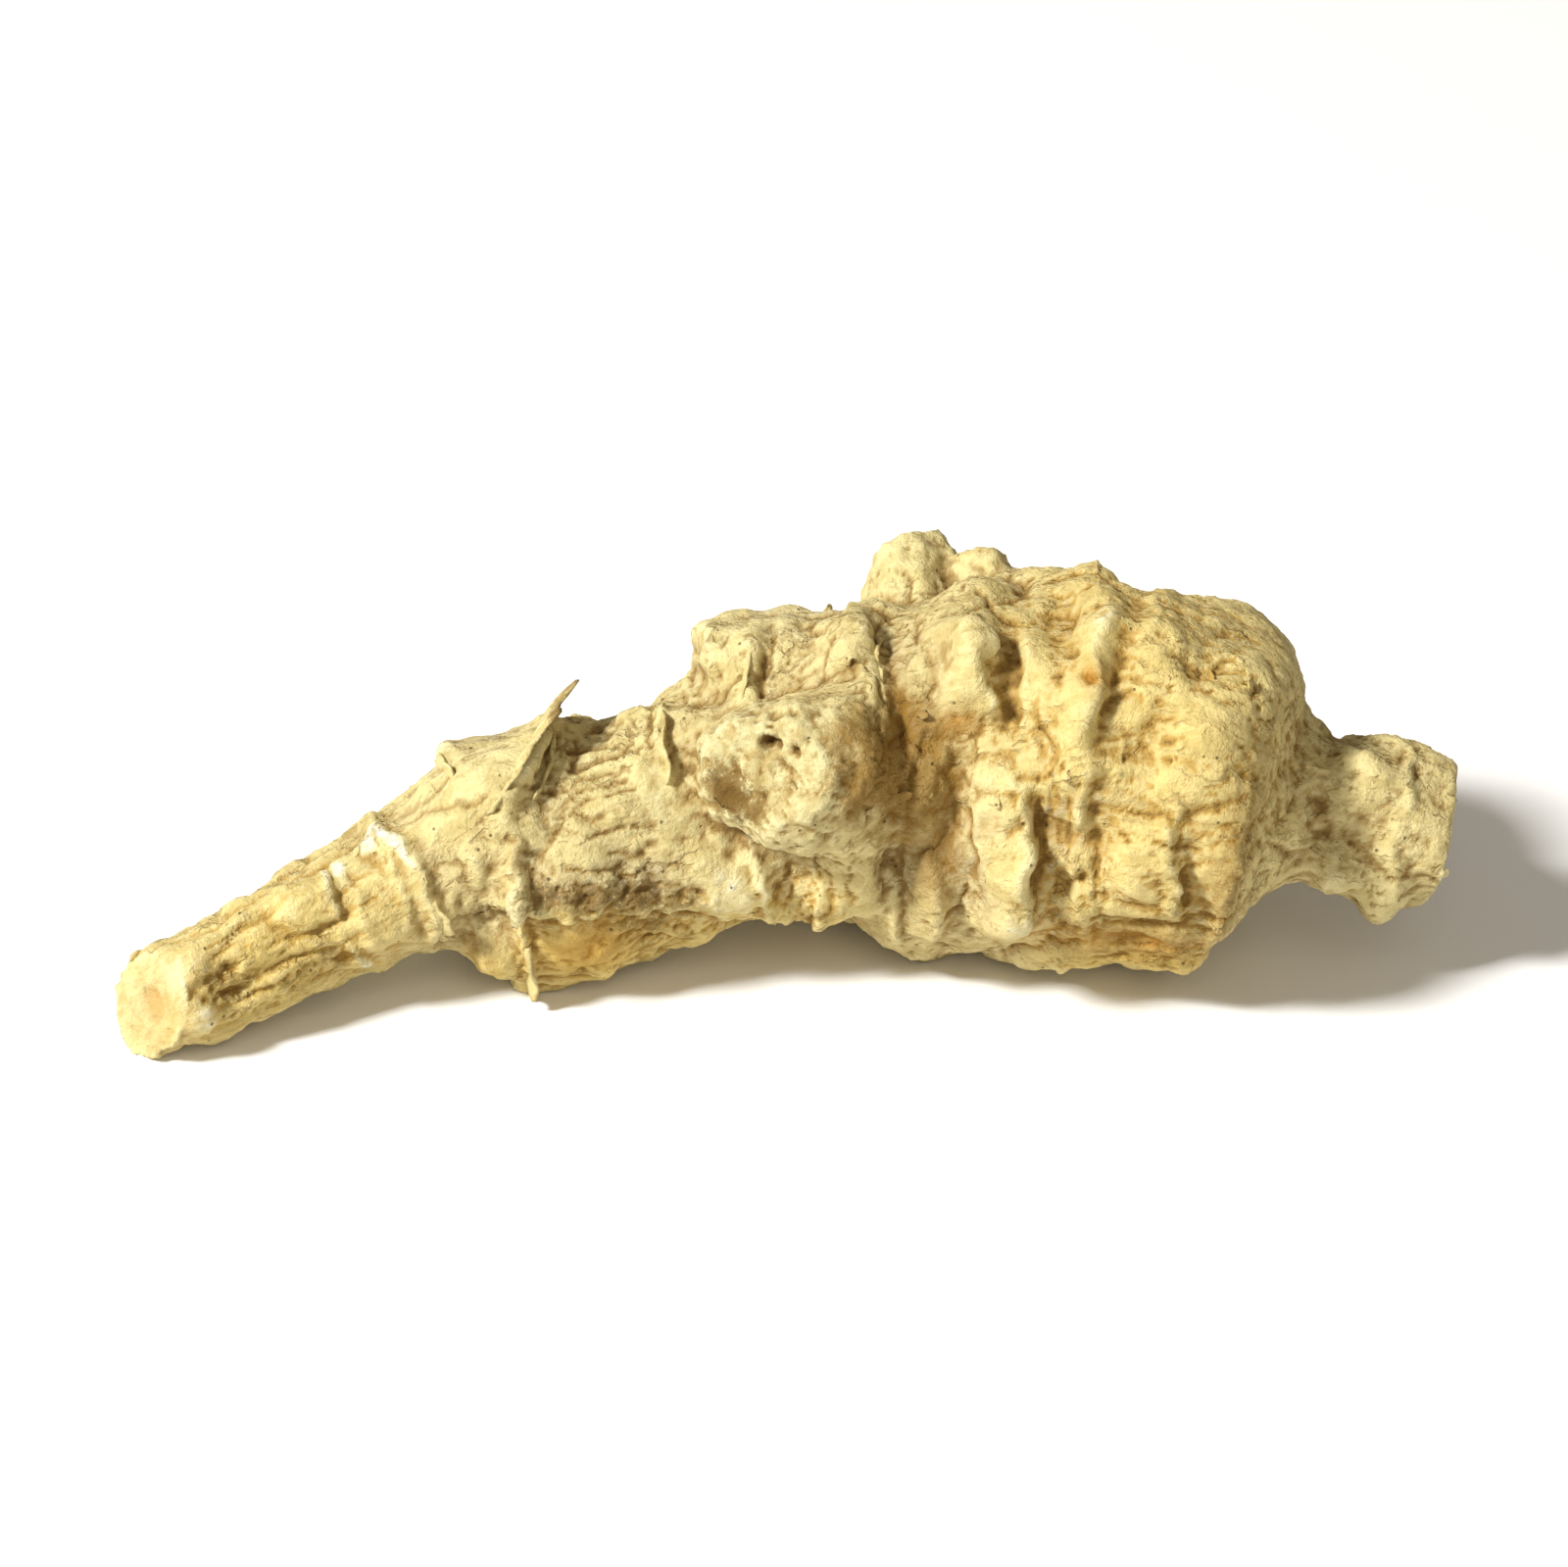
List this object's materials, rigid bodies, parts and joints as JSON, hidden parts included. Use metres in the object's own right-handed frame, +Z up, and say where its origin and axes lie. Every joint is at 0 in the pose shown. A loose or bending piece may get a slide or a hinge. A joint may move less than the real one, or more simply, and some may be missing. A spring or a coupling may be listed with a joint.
{
  "type": "american ginseng root",
  "caption": "Dried tapering ginseng root lying on its side, with ring ridges, bark lips, trimmed side roots, a cut tip and a short crown stub.",
  "frame": {"origin": "under the middle of the root's box, on the surface it lies on", "axes": "+X along the root from the cut tip to the crown, +Z up, +Y to the back"},
  "size_m": [0.0898, 0.0332, 0.026],
  "materials": {
    "bark": "matte"
  },
  "bodies": {
    "root": {"ginseng_root": "bark"}
  },
  "joints": []
}
